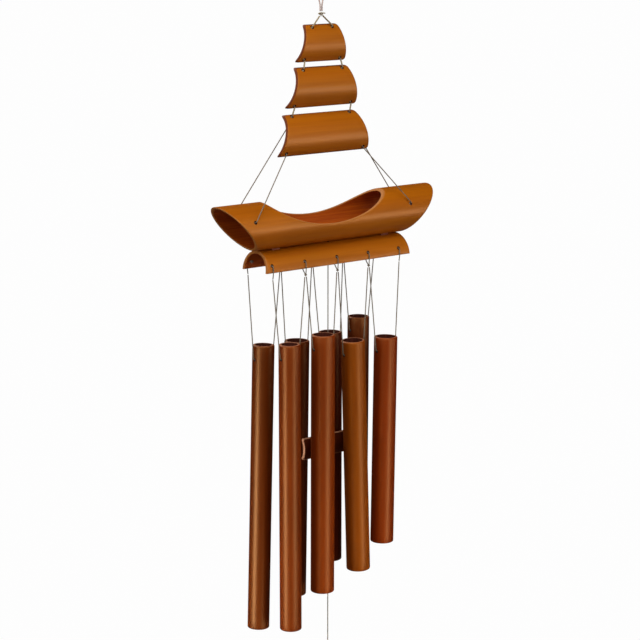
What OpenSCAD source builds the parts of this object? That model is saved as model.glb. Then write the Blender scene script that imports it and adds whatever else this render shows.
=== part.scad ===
// Bamboo wind chime in the form of a small sailing boat.
// Millimetres, +Z up. The origin is the top of the hanging loop, where a hook carries the chime.
// +X runs along the hull towards the short tubes, -Y is the front, where the sails bulge.

/* [Cords] */
// Diameter of the doubled cord that carries the sails
main_cord_d = 1.8; // [1.2:0.1:2.4]
// Diameter of the single cord on the hull, tubes and clapper
thin_cord_d = 1.2; // [0.8:0.1:1.6]
// Distance from the top of the loop to the top knot
loop_drop = 33; // [25:1:60]
// Depth of the tube pivots below the lower edge of the rail
tie_drop = 6.2; // [5:0.2:14]

/* [Sails] */
// Width of the small, middle and large sail along the top edge
sail_top_w = [41.5, 65.5, 89.5]; // [30:1:140]
// Width of the three sails along the bottom edge
sail_bottom_w = [61.5, 88, 114]; // [40:1:160]
// Height of the three sails
sail_h = [36, 39, 40]; // [24:1:44]
// Gap between one sail and the next
sail_gap = 5; // [4:0.5:14]
// Outer radius of the bamboo that the sails are split from
sail_r = 26; // [24:0.5:36]
// Thickness of a sail
sail_t = 3; // [2:0.25:4]
// Shift of the three sails along the hull, as they hang on their cords
sail_shift = [2.2, 3, 0.4]; // [-4:0.2:4]
// Lean of the large sail, lower edge to the front
sail_lean = 11; // [4:0.5:16]

/* [Hull] */
// Outer diameter of the hull
hull_d = 46.5; // [40:0.5:56]
// Wall thickness of the hull
hull_wall = 2.5; // [2:0.25:5]
// Length of the hull along its top
hull_top_l = 273; // [250:1:340]
// Run of the slanted cut at the long-tube end
bow_run = 42.5; // [30:0.5:60]
// Run of the slanted cut at the short-tube end
stern_run = 41; // [30:0.5:60]
// Shift of the hull to the short-tube side, which balances the long tubes
hull_shift = 6; // [0:0.5:14]
// Length of the scooped deck opening, measured at the top
deck_l = 150; // [100:1:170]
// Depth of the scooped deck opening
deck_depth = 22.5; // [12:0.5:26]
// Roll of the hand-cut deck in degrees, which leaves the back edge higher than the front one
deck_roll = 5.5; // [0:0.5:10]
// Turn of the hand-cut deck in degrees, which sets its back edge nearer the short tubes
deck_turn = 6; // [0:0.5:12]
// Height from the large sail's top holes down to the hull's top
shroud_drop = 80.7; // [60:0.1:120]
// Distance of the front shroud holes from the hull's two tips, long-tube end first
front_inset = [31, 42]; // [24:1:60]
// Distance of the back shroud holes from the hull's two tips, long-tube end first
back_inset = [40, 24]; // [24:1:60]

/* [Rail] */
// Outer diameter of the half tube under the hull
rail_d = 39; // [34:0.5:46]
// Wall thickness of the rail
rail_wall = 3; // [2:0.25:5]
// Height of the rail
rail_h = 20.4; // [16:0.2:24]
// Length of the rail past its outer tube holes
rail_overhang = 11; // [8:0.5:20]
// Run of the slanted cut at both ends of the rail, which leaves the crown shorter
rail_slant = 2.5; // [0:0.5:8]
// Distance between neighbouring tube holes
hole_pitch = 41; // [38:0.5:44]
// Height of the tube holes above the lower edge of the rail
hole_rise = 7.2; // [3.5:0.1:9]

/* [Tubes] */
// Length of the four tube pairs, long end first
tube_l = [292.5, 265.5, 241, 216]; // [160:1:340]
// Diameter of the front tubes
front_d = [22, 24, 24.5, 24]; // [18:0.5:26]
// Diameter of the back tubes
back_d = [22.2, 25.5, 24.5, 22.5]; // [18:0.5:26]
// Wall thickness of the four tube pairs
tube_wall = [2.75, 2.25, 2.25, 2]; // [1.5:0.25:3.5]
// Drop of the front tubes' tops below their pivots
front_drop = [66.5, 62.5, 73.5, 75.5]; // [45:0.5:100]
// Drop of the back tubes' tops below their pivots
back_drop = [73, 74.5, 71.5, 60]; // [45:0.5:100]
// Shift of the front tubes along the hull from midway between their holes
front_shift = [0, 1.8, 0.3, 2.9]; // [-4:0.1:4]
// Shift of the back tubes along the hull from midway between their holes
back_shift = [-2, 0, 2.9, 0]; // [-4:0.1:4]
// Lean of the front tubes along the hull in degrees
front_lean = [0.1, -0.2, 2, -1]; // [-2:0.1:2]
// Lean of the back tubes along the hull in degrees
back_lean = [-1.7, -1.1, 0, -0.4]; // [-2:0.1:2]
// Depth of the cross holes below a tube's top
cross_drop = 14; // [10:0.5:20]
// Radius of the rounded tube ends
tube_round = 1.2; // [0.4:0.1:1.4]

/* [Clapper and catcher] */
// Length of the clapper
clapper_l = 62; // [44:1:72]
// Height of the clapper
clapper_h = 22; // [16:1:24]
// Drop of the clapper's top hole below the hull
clapper_drop = 201.5; // [180:0.5:225]
// Outer radius of the bamboo that the clapper is split from
clapper_r = 22.5; // [20:0.5:30]
// Length of the cord between clapper and wind catcher
catcher_drop = 228; // [200:1:300]
// Width of the wind catcher along the top and the bottom edge
catcher_w = [60, 80]; // [40:1:110]
// Height of the wind catcher
catcher_h = 38; // [28:1:44]

/* [Hidden] */
$fn = 64;
// general clearances
soft_gap = 0.3;
glue_gap = 0.05;
through = 1;
// cord radii
main_r = main_cord_d / 2;
thin_r = thin_cord_d / 2;
// a cord hole leaves its cord room to turn
main_hole_d = main_cord_d + 0.9;
thin_hole_d = thin_cord_d + 1.2;
// distance of the sail holes from the edge
hole_edge = 3.4;
corner_r = 2.5;
corner_steps = 4;
// knots
top_knot_r = 2.4;
stop_knot_r = 1.8;
tie_knot_r = 1.5;
// spread of the two strands of the hanging loop
strand_x = 1.1;
loop_half_w = 4.5;
// distance from the top knot down to the small sail's top edge
bridle_drop = 10;

// angle of a plate's edge, of its holes, and the depth of its bamboo axis behind the pivot line
function edge_angle(h, r) = asin(h / 2 / r);
function hole_angle(h, r) = edge_angle(h, r) - hole_edge / r * 180 / PI;
function pivot_r(r, cord_r) = r + cord_r + soft_gap;
function pivot_z(h, r, cord_r) = pivot_r(r, cord_r) * sin(hole_angle(h, r));
function axis_y(h, r, cord_r) = pivot_r(r, cord_r) * cos(hole_angle(h, r));
// half distance of a plate's holes at its top or bottom, set in from the slanted side
hole_side = 8;
function hole_x(w) = w / 2 - hole_side;

// heights of the plates' middles
knot_z = -loop_drop;
small_z = knot_z - bridle_drop - sail_h[0] / 2;
middle_z = small_z - sail_h[0] / 2 - sail_gap - sail_h[1] / 2;
large_z = middle_z - sail_h[1] / 2 - sail_gap - sail_h[2] / 2;
sail_z = [small_z, middle_z, large_z];
function sail_pivot(i) = pivot_z(sail_h[i], sail_r, main_r);
// the large sail leans about its top pivots
large_pivot_z = large_z + sail_pivot(2);

// hull and rail
hull_r = hull_d / 2;
hull_z = large_pivot_z - shroud_drop - hull_r;
hull_bottom = hull_z - hull_r;
bow_x = hull_shift - hull_top_l / 2;
stern_x = hull_shift + hull_top_l / 2;
deck_r = (deck_l * deck_l / 4 + deck_depth * deck_depth) / (2 * deck_depth);
// the scoop is centred a little towards the short tubes
deck_x = 2.2;
deck_z = hull_z + hull_r - deck_depth + deck_r;
hull_hole_rise = 8;
hull_hole_angle = asin(hull_hole_rise / hull_r);
// the hand-drilled holes of the front wall sit nearer the bow than those of the back wall
front_hole_x = [bow_x + front_inset[0], stern_x - front_inset[1]];
back_hole_x = [bow_x + back_inset[0], stern_x - back_inset[1]];
rail_r = rail_d / 2;
rail_z = hull_bottom - soft_gap - rail_r;
rail_top = rail_z + rail_r;
rail_foot = rail_top - rail_h;
tie_hole_z = rail_foot + hole_rise;
hole_count = 5;
// middle of the hole rows, of the rail and of the clapper line, from the hull's middle
row_offset = -1;
rail_offset = 3;
clapper_offset = 1;
row_x = hull_shift + row_offset;
rail_x = hull_shift + rail_offset;
rail_l = (hole_count - 1) * hole_pitch + 2 * rail_overhang;
function tie_x(k) = row_x + (k - 2) * hole_pitch;
glue_spread = 71;
glue_x = [rail_x - glue_spread, rail_x + glue_spread];
glue_l = 10;
glue_w = 11;
glue_h = 4;

// tube rows
row_y = rail_r;
pivot_line_z = rail_foot - tie_drop;
end_start = 0.4;
knot_start = tie_knot_r + soft_gap;
leg_side = 1;
function tube_x(k, wall) = row_x + (k - 1.5) * hole_pitch + (wall < 0 ? front_shift[k] : back_shift[k]);

// clapper line, a little in front of the middle so that the curved slat hangs midway between the rows
clapper_x = hull_shift + clapper_offset;
clapper_y = -2.5;
channel_z = hull_bottom - soft_gap / 2;
clapper_z = hull_bottom - clapper_drop - pivot_z(clapper_h, clapper_r, thin_r);
clapper_pivot = pivot_z(clapper_h, clapper_r, thin_r);
catcher_pivot = pivot_z(catcher_h, sail_r, thin_r);
catcher_z = clapper_z - clapper_pivot - catcher_drop - catcher_pivot;

bamboo = "#a5621f";
bamboo_dark = "#7a3a18";
cord_colour = "#5f5a50";
glue_colour = "#d8c4a8";

// Swept cord: eight-sided rings along a route, each ring square to the bend and turned to a side vector
cord_sides = 8;
function unit(v) = v / norm(v);
function route_dir(route, i) =
    let (last = len(route) - 1)
    i == 0 ? unit(route[1] - route[0])
    : i == last ? unit(route[last] - route[last - 1])
    : unit(unit(route[i] - route[i - 1]) + unit(route[i + 1] - route[i]));
function ring(centre, dir, side, r) =
    let (u = unit(cross(dir, side)))
    let (v = cross(dir, u))
    [for (k = [0:cord_sides - 1]) let (a = k * 360 / cord_sides) centre + r * (cos(a) * u + sin(a) * v)];

module cord(route, r, side) {
    last = len(route) - 1;
    points = [for (i = [0:last]) each ring(route[i], route_dir(route, i), side, r)];
    walls = [for (i = [0:last - 1]) for (k = [0:cord_sides - 1])
        let (n = (k + 1) % cord_sides)
        [i * cord_sides + k, (i + 1) * cord_sides + k, (i + 1) * cord_sides + n, i * cord_sides + n]];
    start_cap = [for (k = [0:cord_sides - 1]) k];
    end_cap = [for (k = [cord_sides - 1:-1:0]) last * cord_sides + k];
    color(cord_colour) polyhedron(points, concat([start_cap], walls, [end_cap]));
}

module knot(at, r) {
    color(cord_colour) translate(at) sphere(r, $fn = 20);
}

// Outline of a plate seen from the front: a trapezoid with rounded corners
function corner(at, from, to, r) =
    let (half = (to - from) / 2, reach = r / cos(half))
    let (middle = (from + to) / 2)
    let (centre = at - reach * [cos(middle), sin(middle)])
    [for (i = [0:corner_steps]) let (a = from + (to - from) * i / corner_steps)
        centre + r * [cos(a), sin(a)]];
function plate_outline(top_w, bottom_w, h) =
    let (slant = atan((bottom_w - top_w) / 2 / h))
    concat(
        corner([bottom_w / 2, -h / 2], -90, slant, corner_r),
        corner([top_w / 2, h / 2], slant, 90, corner_r),
        corner([-top_w / 2, h / 2], 90, 180 - slant, corner_r),
        corner([-bottom_w / 2, -h / 2], 180 - slant, 270, corner_r));

// Curved plate split from a bamboo pole: its pivots lie on y = 0, the middle of its height on z = 0
module plate(top_w, bottom_w, h, r, t, cord_r, top_holes, bottom_holes, hole_d) {
    long = max(top_w, bottom_w) + 2 * through;
    translate([0, axis_y(h, r, cord_r), 0]) difference() {
        intersection() {
            difference() {
                rotate([0, 90, 0]) cylinder(h = long, r = r, center = true);
                rotate([0, 90, 0]) cylinder(h = long + 2 * through, r = r - t, center = true);
            }
            rotate([90, 0, 0]) linear_extrude(r + through) polygon(plate_outline(top_w, bottom_w, h));
        }
        for (x = top_holes) plate_hole(x, hole_angle(h, r), r, hole_d);
        for (x = bottom_holes) plate_hole(x, -hole_angle(h, r), r, hole_d);
    }
}

module plate_hole(x, angle, r, hole_d) {
    translate([x, 0, 0]) rotate([90 - angle, 0, 0]) cylinder(h = r + through, d = hole_d, $fn = 24);
}

// Cord behind a plate: in through the top hole, down the hollow side, out through the bottom hole
function run_point(x, radius, angle, h, r, cord_r) =
    [x, axis_y(h, r, cord_r) - radius * cos(angle), radius * sin(angle)];
module plate_run(top_x, bottom_x, h, r, t, cord_r) {
    a = hole_angle(h, r);
    start = pivot_r(r, cord_r) - soft_gap - cord_r;
    back = r - t - cord_r - soft_gap;
    cord([
        run_point(top_x, start, a, h, r, cord_r),
        run_point(top_x, back + cord_r, a, h, r, cord_r),
        run_point(top_x + (bottom_x - top_x) * 0.06, back - 0.6, a * 0.88, h, r, cord_r),
        run_point(bottom_x - (bottom_x - top_x) * 0.06, back - 0.6, -a * 0.88, h, r, cord_r),
        run_point(bottom_x, back + cord_r, -a, h, r, cord_r),
        run_point(bottom_x, start, -a, h, r, cord_r)], cord_r, [1, 0, 0]);
}

// Loop of cord for the hook, round at the top, its strands side by side above the knot
module hanging_loop() {
    top = -main_r;
    low = knot_z + top_knot_r + soft_gap;
    arc = [for (a = [150:-30:30]) [loop_half_w * cos(a), 0, top - loop_half_w + loop_half_w * sin(a)]];
    cord(concat(
        [[-strand_x, 0, low], [-strand_x, 0, low + 6], [-loop_half_w, 0, top - 2.2 * loop_half_w]],
        arc,
        [[loop_half_w, 0, top - 2.2 * loop_half_w], [strand_x, 0, low + 6], [strand_x, 0, low]]),
        main_r, [0, 1, 0]);
}

module top_knot() {
    knot([0, 0, knot_z], top_knot_r);
}

// Two legs from the top knot to the small sail
module top_bridle() {
    top = [0, 0, knot_z];
    for (side = [-1, 1]) {
        foot = [sail_shift[0] + side * hole_x(sail_top_w[0]), 0, small_z + sail_pivot(0)];
        cord([top + unit(foot - top) * (top_knot_r + soft_gap), foot], main_r, [0, 1, 0]);
    }
}

module sail(i) {
    top = hole_x(sail_top_w[i]);
    bottom = hole_x(sail_bottom_w[i]);
    color(bamboo) plate(sail_top_w[i], sail_bottom_w[i], sail_h[i], sail_r, sail_t, main_r,
        [-top, top], [-bottom, bottom], main_hole_d);
}

module small_sail() {
    translate([sail_shift[0], 0, small_z]) sail(0);
}

module middle_sail() {
    translate([sail_shift[1], 0, middle_z]) sail(1);
}

// The large sail leans about its top holes, because the front shrouds pull its lower edge forward
module lean_large() {
    translate([sail_shift[2], 0, large_pivot_z]) rotate([-sail_lean, 0, 0])
        translate([0, 0, -sail_pivot(2)]) children();
}

module large_sail() {
    lean_large() sail(2);
}

module sail_cords(i) {
    top = hole_x(sail_top_w[i]);
    bottom = hole_x(sail_bottom_w[i]);
    for (side = [-1, 1]) plate_run(side * top, side * bottom, sail_h[i], sail_r, sail_t, main_r);
}

module small_sail_cords() {
    translate([sail_shift[0], 0, small_z]) sail_cords(0);
}

module middle_sail_cords() {
    translate([sail_shift[1], 0, middle_z]) sail_cords(1);
}

// Links hang between the bottom holes of one sail and the top holes of the next
module links(upper) {
    start = sail_z[upper] - sail_pivot(upper) - soft_gap;
    end = sail_z[upper + 1] + sail_pivot(upper + 1) + soft_gap;
    for (side = [-1, 1])
        cord([[sail_shift[upper] + side * hole_x(sail_bottom_w[upper]), 0, start],
            [sail_shift[upper + 1] + side * hole_x(sail_top_w[upper + 1]), 0, end]], main_r, [0, 1, 0]);
}

module upper_links() {
    links(0);
}

module lower_links() {
    links(1);
}

// A point of the large sail after it has leaned
function leaned(p) =
    let (z = p[2] - sail_pivot(2), c = cos(sail_lean), s = sin(sail_lean))
    [p[0] + sail_shift[2], p[1] * c + z * s, large_pivot_z - p[1] * s + z * c];
function large_run(x, radius, angle) = leaned(run_point(x, radius, angle, sail_h[2], sail_r, main_r));
// A point on the line of a shroud hole through the hull's wall; wall is -1 at the front and 1 at the back
function hull_hole_point(x, radius, wall) =
    [x, wall * radius * cos(hull_hole_angle), hull_z + radius * sin(hull_hole_angle)];
inside_r = hull_r - hull_wall - stop_knot_r - soft_gap;

// Front shrouds: behind the large sail, out of its bottom holes, into the hull's front wall
module front_shrouds() {
    a = hole_angle(sail_h[2], sail_r);
    back = sail_r - sail_t - thin_r - soft_gap;
    for (n = [0, 1]) {
        side = 2 * n - 1;
        top = side * (hole_x(sail_top_w[2]) + thin_r);
        bottom = side * hole_x(sail_bottom_w[2]);
        cord([
            large_run(top, sail_r, a),
            large_run(top, back, a),
            large_run(top, back - 1, a * 0.85),
            large_run(bottom, back - 1, -a * 0.85),
            large_run(bottom, back, -a),
            large_run(bottom, sail_r + 0.4, -a),
            large_run(bottom + side * 0.8, sail_r + 1.2, -a * 1.06),
            hull_hole_point(front_hole_x[n] - side * 0.8, hull_r + 1.4, -1) + [0, 0, 1],
            hull_hole_point(front_hole_x[n], hull_r + 0.3, -1),
            hull_hole_point(front_hole_x[n], inside_r, -1)], thin_r, [1, 0, 0]);
        knot(hull_hole_point(front_hole_x[n], inside_r, -1), stop_knot_r);
    }
}

// Back shrouds: straight from the back of the large sail's top holes into the hull's back wall
module back_shrouds() {
    a = hole_angle(sail_h[2], sail_r);
    back = sail_r - sail_t - thin_r - soft_gap;
    for (n = [0, 1]) {
        side = 2 * n - 1;
        top = side * (hole_x(sail_top_w[2]) - thin_r - 0.1);
        cord([
            large_run(top, sail_r, a),
            large_run(top, back, a),
            large_run(top + side * 0.6, back - 1.5, a * 0.9),
            hull_hole_point(back_hole_x[n] - side * 0.8, hull_r + 1.4, 1) + [0, 0, 1],
            hull_hole_point(back_hole_x[n], hull_r + 0.3, 1),
            hull_hole_point(back_hole_x[n], inside_r, 1)], thin_r, [1, 0, 0]);
        knot(hull_hole_point(back_hole_x[n], inside_r, 1), stop_knot_r);
    }
}

// Bamboo tube with both ends cut on the slant and a deck scooped out of its top
module hull() {
    wide = hull_d + 2 * through;
    color(bamboo) difference() {
        intersection() {
            translate([hull_shift, 0, hull_z]) rotate([0, 90, 0])
                cylinder(h = hull_top_l + 2 * through, d = hull_d, center = true, $fn = 80);
            translate([0, wide / 2, hull_z]) rotate([90, 0, 0]) linear_extrude(wide)
                polygon([[bow_x, hull_r], [bow_x + bow_run, -hull_r],
                    [stern_x - stern_run, -hull_r], [stern_x, hull_r]]);
        }
        translate([hull_shift, 0, hull_z]) rotate([0, 90, 0])
            cylinder(h = hull_top_l + 4 * through, d = hull_d - 2 * hull_wall, center = true, $fn = 80);
        translate([deck_x, 0, deck_z]) rotate([90 + deck_roll, 0, -deck_turn])
            cylinder(h = 4 * wide, r = deck_r, center = true, $fn = 200);
        for (x = front_hole_x) shroud_hole(x, -1);
        for (x = back_hole_x) shroud_hole(x, 1);
        clapper_hole();
    }
}

module shroud_hole(x, wall) {
    translate([x, 0, hull_z]) rotate([-wall * (90 - hull_hole_angle), 0, 0])
        cylinder(h = hull_d, d = thin_hole_d, $fn = 24);
}

// Hole for the clapper's cord through the hull's floor and the rail's crown
module clapper_hole() {
    deep = hull_wall + rail_wall + 4 * through;
    translate([clapper_x, clapper_y, channel_z]) cylinder(h = deep, d = thin_hole_d, center = true, $fn = 24);
}

// Half tube under the hull, open below, with a row of cord holes along each edge
module rail() {
    wide = rail_d + 2 * through;
    crown_l = rail_l - 2 * rail_slant;
    color(bamboo) difference() {
        intersection() {
            translate([rail_x, 0, rail_z]) rotate([0, 90, 0])
                cylinder(h = rail_l + 2 * through, d = rail_d, center = true, $fn = 80);
            translate([rail_x, wide / 2, 0]) rotate([90, 0, 0]) linear_extrude(wide)
                polygon([[-rail_l / 2, rail_foot], [rail_l / 2, rail_foot],
                    [crown_l / 2, rail_top], [-crown_l / 2, rail_top]]);
        }
        translate([rail_x, 0, rail_z]) rotate([0, 90, 0])
            cylinder(h = rail_l + 4 * through, d = rail_d - 2 * rail_wall, center = true, $fn = 80);
        for (k = [0:hole_count - 1])
            translate([tie_x(k), 0, tie_hole_z]) rotate([90, 0, 0])
                cylinder(h = rail_d + 2 * through, d = thin_hole_d, center = true, $fn = 24);
        clapper_hole();
    }
}

// Glue between the hull's underside and the rail's crown
module glue_pads() {
    color(glue_colour) for (x = glue_x) difference() {
        translate([x, 0, channel_z]) cube([glue_l, glue_w, glue_h], center = true);
        translate([x, 0, hull_z]) rotate([0, 90, 0])
            cylinder(h = glue_l + 2 * through, r = hull_r + glue_gap, center = true, $fn = 180);
        translate([x, 0, rail_z]) rotate([0, 90, 0])
            cylinder(h = glue_l + 2 * through, r = rail_r + glue_gap, center = true, $fn = 180);
    }
}

// Cord at the rail holes: a knotted loop at the three middle holes, a stopped end at the outer two
function wall_y(z, r) = sqrt(r * r - (z - rail_z) * (z - rail_z));
tie_out = wall_y(rail_foot, rail_r) + thin_r + soft_gap;
tie_in = wall_y(tie_hole_z, rail_r - rail_wall) - thin_r - soft_gap;
module tie_loop(x, wall) {
    cord([
        [x, wall * (row_y + 0.4), pivot_line_z + 0.6],
        [x, wall * tie_out, rail_foot - 1],
        [x, wall * tie_out, tie_hole_z - 2],
        [x, wall * (tie_out - 0.5), tie_hole_z - 0.5],
        [x, wall * (tie_out - 1.6), tie_hole_z],
        [x, wall * (tie_in + 1), tie_hole_z],
        [x, wall * tie_in, tie_hole_z - 0.6],
        [x, wall * (tie_in + 0.2), rail_foot + 0.6],
        [x, wall * (tie_in + 1), rail_foot - 1.4],
        [x, wall * (row_y - 0.6), pivot_line_z + 0.6]], thin_r, [1, 0, 0]);
    knot([x, wall * row_y, pivot_line_z], tie_knot_r);
}

module tie_end(x, wall) {
    stop_y = wall_y(tie_hole_z, rail_r - rail_wall) - stop_knot_r - soft_gap;
    cord([
        [x, wall * row_y, pivot_line_z + end_start],
        [x, wall * tie_out, rail_foot - 1],
        [x, wall * tie_out, tie_hole_z - 2],
        [x, wall * (tie_out - 0.5), tie_hole_z - 0.5],
        [x, wall * (tie_out - 1.6), tie_hole_z],
        [x, wall * stop_y, tie_hole_z]], thin_r, [1, 0, 0]);
    knot([x, wall * stop_y, tie_hole_z], stop_knot_r);
}

module ties(wall) {
    for (k = [1:hole_count - 2]) tie_loop(tie_x(k), wall);
    tie_end(tie_x(0), wall);
    tie_end(tie_x(hole_count - 1), wall);
}

module front_ties() {
    ties(-1);
}

module back_ties() {
    ties(1);
}

// A tube's own cord: down from one hole, across inside the tube, up to the next hole
function leg_start(k) = k == 0 || k == hole_count - 1 ? end_start : knot_start;
function leg_top_x(k, side) = k == 0 || k == hole_count - 1 ? tie_x(k) : tie_x(k) + side * leg_side;
module tube_cord(k, wall, d, drop) {
    y = wall * row_y;
    cross_z = pivot_line_z - drop - cross_drop;
    x = tube_x(k, wall);
    out = d / 2 + thin_r + 2 * soft_gap;
    cord([
        [leg_top_x(k, 1), y, pivot_line_z - leg_start(k)],
        [x - out, y, cross_z + 3],
        [x - out + 0.3, y, cross_z + 0.9],
        [x - out + 1.3, y, cross_z],
        [x + out - 1.3, y, cross_z],
        [x + out - 0.3, y, cross_z + 0.9],
        [x + out, y, cross_z + 3],
        [leg_top_x(k + 1, -1), y, pivot_line_z - leg_start(k + 1)]], thin_r, [0, 1, 0]);
}

// Bamboo tube, open at both ends, its ends sanded round, cross-drilled for its cord
function quarter(cx, cz, r, from) =
    [for (i = [0:3]) let (a = from - 30 * i) [cx + r * cos(a), cz + r * sin(a)]];
module chime_tube(k, wall, d, drop, lean) {
    r = d / 2;
    inner = r - tube_wall[k];
    long = tube_l[k];
    rim = r - tube_round;
    profile = concat(
        [[inner, 0]],
        quarter(rim, -tube_round, tube_round, 90),
        quarter(rim, tube_round - long, tube_round, 0),
        [[inner, -long]]);
    cross_z = pivot_line_z - drop - cross_drop;
    color(bamboo_dark) translate([tube_x(k, wall), wall * row_y, cross_z]) difference() {
        rotate([0, -lean, 0]) translate([0, 0, cross_drop]) rotate_extrude($fn = 44) polygon(profile);
        rotate([0, 90, 0]) cylinder(h = d + 2 * through, d = thin_hole_d, center = true, $fn = 20);
    }
}

// Stopper knot of the clapper's cord on the hull's floor
module clapper_knot() {
    knot([clapper_x, clapper_y, hull_bottom + hull_wall + stop_knot_r + soft_gap], stop_knot_r);
}

module clapper_cord() {
    top = hull_bottom + hull_wall;
    cord([[clapper_x, clapper_y, top], [clapper_x, clapper_y, clapper_z + clapper_pivot + soft_gap]],
        thin_r, [0, 1, 0]);
}

module clapper() {
    color(bamboo_dark) translate([clapper_x, clapper_y, clapper_z])
        plate(clapper_l, clapper_l, clapper_h, clapper_r, sail_t, thin_r, [0], [0], thin_hole_d);
}

module clapper_run() {
    translate([clapper_x, clapper_y, clapper_z]) plate_run(0, 0, clapper_h, clapper_r, sail_t, thin_r);
}

module catcher_cord() {
    start = clapper_z - clapper_pivot - soft_gap;
    end = catcher_z + catcher_pivot;
    cord([[clapper_x, clapper_y, start], [clapper_x, clapper_y, end]], thin_r, [0, 1, 0]);
}

module wind_catcher() {
    color(bamboo) translate([clapper_x, clapper_y, catcher_z])
        plate(catcher_w[0], catcher_w[1], catcher_h, sail_r, sail_t, thin_r, [0], [], thin_hole_d);
}

hanging_loop();
top_knot();
top_bridle();
small_sail();
small_sail_cords();
upper_links();
middle_sail();
middle_sail_cords();
lower_links();
large_sail();
front_shrouds();
back_shrouds();
hull();
rail();
glue_pads();
front_ties();
back_ties();
tube_cord(0, -1, front_d[0], front_drop[0]);  // front_cord_1
tube_cord(1, -1, front_d[1], front_drop[1]);  // front_cord_2
tube_cord(2, -1, front_d[2], front_drop[2]);  // front_cord_3
tube_cord(3, -1, front_d[3], front_drop[3]);  // front_cord_4
tube_cord(0, 1, back_d[0], back_drop[0]);  // back_cord_1
tube_cord(1, 1, back_d[1], back_drop[1]);  // back_cord_2
tube_cord(2, 1, back_d[2], back_drop[2]);  // back_cord_3
tube_cord(3, 1, back_d[3], back_drop[3]);  // back_cord_4
chime_tube(0, -1, front_d[0], front_drop[0], front_lean[0]);  // front_tube_1
chime_tube(1, -1, front_d[1], front_drop[1], front_lean[1]);  // front_tube_2
chime_tube(2, -1, front_d[2], front_drop[2], front_lean[2]);  // front_tube_3
chime_tube(3, -1, front_d[3], front_drop[3], front_lean[3]);  // front_tube_4
chime_tube(0, 1, back_d[0], back_drop[0], back_lean[0]);  // back_tube_1
chime_tube(1, 1, back_d[1], back_drop[1], back_lean[1]);  // back_tube_2
chime_tube(2, 1, back_d[2], back_drop[2], back_lean[2]);  // back_tube_3
chime_tube(3, 1, back_d[3], back_drop[3], back_lean[3]);  // back_tube_4
clapper_knot();
clapper_cord();
clapper();
clapper_run();
catcher_cord();
wind_catcher();
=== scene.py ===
# %% [markdown]
# # A bamboo wind chime in the form of a sailing boat
# The solids of the chime come from CAD in one shared frame: metres, +Z up, origin at the top of
# the hanging loop. This lesson dresses them: it splits, carves and turns the bamboo as finer
# meshes, twists the cords, stains and varnishes the wood, and lights it all as in a studio.

# %% Load the solids
import bpy
from math import acos, asin, atan, cos, hypot, pi, radians, sin, sqrt
from mathutils import Matrix, Vector
from mathutils.noise import noise


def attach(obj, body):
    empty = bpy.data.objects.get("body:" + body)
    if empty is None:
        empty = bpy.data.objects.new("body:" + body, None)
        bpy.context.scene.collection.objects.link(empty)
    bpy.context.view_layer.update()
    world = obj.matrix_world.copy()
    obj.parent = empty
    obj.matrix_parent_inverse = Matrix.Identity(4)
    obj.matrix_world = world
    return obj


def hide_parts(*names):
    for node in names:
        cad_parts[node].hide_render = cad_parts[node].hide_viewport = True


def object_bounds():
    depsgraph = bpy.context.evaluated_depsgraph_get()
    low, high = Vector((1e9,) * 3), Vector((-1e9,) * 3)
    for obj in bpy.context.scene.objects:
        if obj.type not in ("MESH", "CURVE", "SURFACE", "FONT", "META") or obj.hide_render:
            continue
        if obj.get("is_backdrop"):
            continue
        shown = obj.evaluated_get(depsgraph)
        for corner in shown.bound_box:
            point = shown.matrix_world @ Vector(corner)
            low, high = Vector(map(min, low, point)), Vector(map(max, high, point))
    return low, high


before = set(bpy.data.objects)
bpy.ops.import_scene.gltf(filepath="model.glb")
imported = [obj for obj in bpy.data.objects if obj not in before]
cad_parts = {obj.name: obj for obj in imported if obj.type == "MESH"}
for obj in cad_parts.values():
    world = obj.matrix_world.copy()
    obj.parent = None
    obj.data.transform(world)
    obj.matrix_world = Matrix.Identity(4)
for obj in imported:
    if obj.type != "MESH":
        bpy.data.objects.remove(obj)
cad_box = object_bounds()
MM = 0.001

# %% [markdown]
# ## Camera
# The chime was seen from about two metres away, 40 degrees round from its front and a little
# from above. It hangs level, so these values and the middle of the picture fix the camera. The
# picture is square, so one angle of view serves both ways.

# %% Place the camera
YAW, TILT = radians(40), radians(11.5)
DISTANCE = 2050 * MM
MIDDLE = Vector((-1.3, 0, -336.1)) * MM
PICTURE_WIDTH = 640 * MM
to_chime = Vector((sin(YAW) * cos(TILT), cos(YAW) * cos(TILT), -sin(TILT)))
camera = bpy.data.objects.new("camera", bpy.data.cameras.new("camera"))
camera.data.angle = 2 * atan(PICTURE_WIDTH / 2 / DISTANCE)
camera.location = MIDDLE - to_chime * DISTANCE
camera.rotation_euler = to_chime.to_track_quat("-Z", "Y").to_euler()
bpy.context.scene.collection.objects.link(camera)
bpy.context.scene.camera = camera
print("camera at", [round(v, 3) for v in camera.location])

# %% [markdown]
# ## Helpers for finishes
# Colours are sRGB hex values, as a colour picker shows them, and shaders want them linear. One
# small function adds a node, sets its values and joins its inputs. Patterns have real sizes in
# millimetres: a Mapping node divides the position by the size of one fibre.

# %% Colour and node helpers
# sockets of the Mix node for colours go by number, because others share their names
MIX_SHARE, MIX_FIRST, MIX_SECOND, MIX_RESULT = 0, 6, 7, 2
NOISE_LOW, NOISE_HIGH = 0.3, 0.7  # noise seldom leaves this range


def linear(hex_code):
    """The linear colour of an sRGB hex value, by the standard's formula."""
    shares = [int(hex_code[i:i + 2], 16) / 255 for i in (1, 3, 5)]
    return [s / 12.92 if s <= 0.04045 else ((s + 0.055) / 1.055) ** 2.4 for s in shares] + [1]


def add(tree, kind, settings, links):
    """Add a node, set its properties and inputs, and join its inputs to other nodes' outputs."""
    node = tree.nodes.new("ShaderNode" + kind)
    for key, value in settings.items():
        if isinstance(key, str) and hasattr(node, key):
            setattr(node, key, value)
        else:
            node.inputs[key].default_value = value
    for key, output in links.items():
        tree.links.new(output, node.inputs[key])
    return node


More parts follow.
